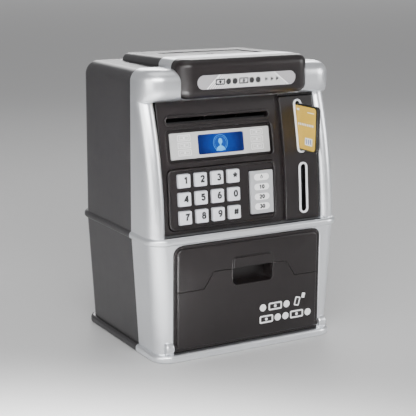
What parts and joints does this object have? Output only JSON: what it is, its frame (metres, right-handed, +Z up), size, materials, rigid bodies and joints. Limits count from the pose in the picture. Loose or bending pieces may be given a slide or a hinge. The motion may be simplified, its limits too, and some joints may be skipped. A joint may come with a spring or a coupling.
{
  "type": "toy cash machine savings bank",
  "caption": "Toy cash machine money box with a note feeder, coin slot, bank card, keypad and a fold-down cash door.",
  "frame": {"origin": "centre of the flat underside that stands on the table", "axes": "+Z up, -Y out of the front with the screen and door, +X to the right seen from the front"},
  "size_m": [0.143, 0.1184, 0.19],
  "materials": {
    "silver_plastic": "satin silver paint on moulded plastic",
    "black_casing_plastic": "satin black moulded plastic",
    "black_panel_plastic": "fine satin black moulded plastic",
    "silver_print": "printed silver film",
    "screen": "glossy blue display window",
    "white_trim": "glossy white moulded plastic",
    "key_plastic": "satin pale grey moulded plastic",
    "white_ink": "white pad print",
    "card_black": "satin black moulded plastic",
    "card_gold": "printed gold film",
    "mechanism_plastic": "natural moulded plastic",
    "black_inner_plastic": "matt black moulded plastic",
    "rubber_black": "soft black rubber",
    "rubber_grey": "grey silicone rubber",
    "board_green": "green solder mask",
    "steel": "bright zinc-plated steel",
    "cell_jacket": "printed metal cell jacket"
  },
  "bodies": {
    "casing": {"front_casing": "silver_plastic", "rear_casing": "black_casing_plastic", "base_plate": "black_casing_plastic", "money_partition": "black_inner_plastic", "battery_cover": "black_casing_plastic", "battery_cover_screw": "steel", "sign_visor": "black_panel_plastic", "sign_label": "silver_print", "control_panel": "black_panel_plastic", "reader_panel": "black_panel_plastic", "note_slot_bezel": "black_panel_plastic", "display_plate": "silver_print", "display_window": "screen", "display_board": "board_green", "keypad_bezel": "black_panel_plastic", "function_plate": "silver_print", "keypad_mat": "rubber_grey", "keypad_board": "board_green", "card_slot_trim": "white_trim", "coin_slot_trim": "white_trim", "card_guide": "black_inner_plastic", "card_switch": "black_inner_plastic", "coin_chute": "black_inner_plastic", "note_guide": "black_inner_plastic", "feed_motor": "steel", "main_board": "board_green", "speaker": "black_inner_plastic", "battery_box": "black_inner_plastic", "batteries": "cell_jacket", "battery_contacts": "steel", "lock_actuator": "black_inner_plastic", "hinge_pins": "steel", "case_screws": "steel", "board_screws": "steel"},
    "door": {"door": "black_panel_plastic", "door_catch": "black_panel_plastic", "handle_cup": "black_panel_plastic", "door_badge": "white_ink"},
    "card": {"bank_card": "card_black", "card_label": "card_gold"},
    "feed_roller": {"feed_roller": "steel", "roller_tyres": "rubber_black", "roller_gear": "mechanism_plastic"},
    "pinch_roller": {"pinch_roller": "black_inner_plastic"},
    "motor_shaft": {"motor_pinion": "steel"},
    "lock_bolt": {"lock_bolt": "steel"},
    "key_1": {"key_1": "key_plastic"},
    "key_2": {"key_2": "key_plastic"},
    "key_3": {"key_3": "key_plastic"},
    "key_star": {"key_star": "key_plastic"},
    "key_4": {"key_4": "key_plastic"},
    "key_5": {"key_5": "key_plastic"},
    "key_6": {"key_6": "key_plastic"},
    "key_0": {"key_0": "key_plastic"},
    "key_7": {"key_7": "key_plastic"},
    "key_8": {"key_8": "key_plastic"},
    "key_9": {"key_9": "key_plastic"},
    "key_hash": {"key_hash": "key_plastic"}
  },
  "joints": [
    {"name": "door_hinge", "type": "hinge", "parent": "casing", "child": "door", "pos_m": [0, -0.051, 0.0092], "axis": [1, 0, 0], "range_deg": [0, 90]},
    {"name": "card_slide", "type": "slide", "parent": "casing", "child": "card", "axis": [0, -1, 0], "range_m": [-0.0056, 0.03]},
    {"name": "feed_roller_spin", "type": "hinge", "parent": "casing", "child": "feed_roller", "pos_m": [-0.013, -0.022, 0.146], "axis": [1, 0, 0], "continuous": true},
    {"name": "pinch_roller_spin", "type": "hinge", "parent": "casing", "child": "pinch_roller", "pos_m": [-0.013, -0.022, 0.1572], "axis": [1, 0, 0], "continuous": true},
    {"name": "motor_spin", "type": "hinge", "parent": "casing", "child": "motor_shaft", "pos_m": [0.0287, -0.0146, 0.13318], "axis": [1, 0, 0], "continuous": true},
    {"name": "lock_bolt_slide", "type": "slide", "parent": "casing", "child": "lock_bolt", "axis": [-1, 0, 0], "range_m": [0, 0.006]},
    {"name": "key_1_press", "type": "slide", "parent": "casing", "child": "key_1", "axis": [0, 0.9954, -0.0958], "range_m": [0, 0.001], "stiffness_N_per_m": 300},
    {"name": "key_2_press", "type": "slide", "parent": "casing", "child": "key_2", "axis": [0, 0.9954, -0.0958], "range_m": [0, 0.001], "stiffness_N_per_m": 300},
    {"name": "key_3_press", "type": "slide", "parent": "casing", "child": "key_3", "axis": [0, 0.9954, -0.0958], "range_m": [0, 0.001], "stiffness_N_per_m": 300},
    {"name": "key_star_press", "type": "slide", "parent": "casing", "child": "key_star", "axis": [0, 0.9954, -0.0958], "range_m": [0, 0.001], "stiffness_N_per_m": 300},
    {"name": "key_4_press", "type": "slide", "parent": "casing", "child": "key_4", "axis": [0, 0.9954, -0.0958], "range_m": [0, 0.001], "stiffness_N_per_m": 300},
    {"name": "key_5_press", "type": "slide", "parent": "casing", "child": "key_5", "axis": [0, 0.9954, -0.0958], "range_m": [0, 0.001], "stiffness_N_per_m": 300},
    {"name": "key_6_press", "type": "slide", "parent": "casing", "child": "key_6", "axis": [0, 0.9954, -0.0958], "range_m": [0, 0.001], "stiffness_N_per_m": 300},
    {"name": "key_0_press", "type": "slide", "parent": "casing", "child": "key_0", "axis": [0, 0.9954, -0.0958], "range_m": [0, 0.001], "stiffness_N_per_m": 300},
    {"name": "key_7_press", "type": "slide", "parent": "casing", "child": "key_7", "axis": [0, 0.9954, -0.0958], "range_m": [0, 0.001], "stiffness_N_per_m": 300},
    {"name": "key_8_press", "type": "slide", "parent": "casing", "child": "key_8", "axis": [0, 0.9954, -0.0958], "range_m": [0, 0.001], "stiffness_N_per_m": 300},
    {"name": "key_9_press", "type": "slide", "parent": "casing", "child": "key_9", "axis": [0, 0.9954, -0.0958], "range_m": [0, 0.001], "stiffness_N_per_m": 300},
    {"name": "key_hash_press", "type": "slide", "parent": "casing", "child": "key_hash", "axis": [0, 0.9954, -0.0958], "range_m": [0, 0.001], "stiffness_N_per_m": 300}
  ],
  "couplings": [
    {"joint": "motor_spin", "follows": "feed_roller_spin", "ratio": -2.5},
    {"joint": "pinch_roller_spin", "follows": "feed_roller_spin", "ratio": -1.037}
  ]
}
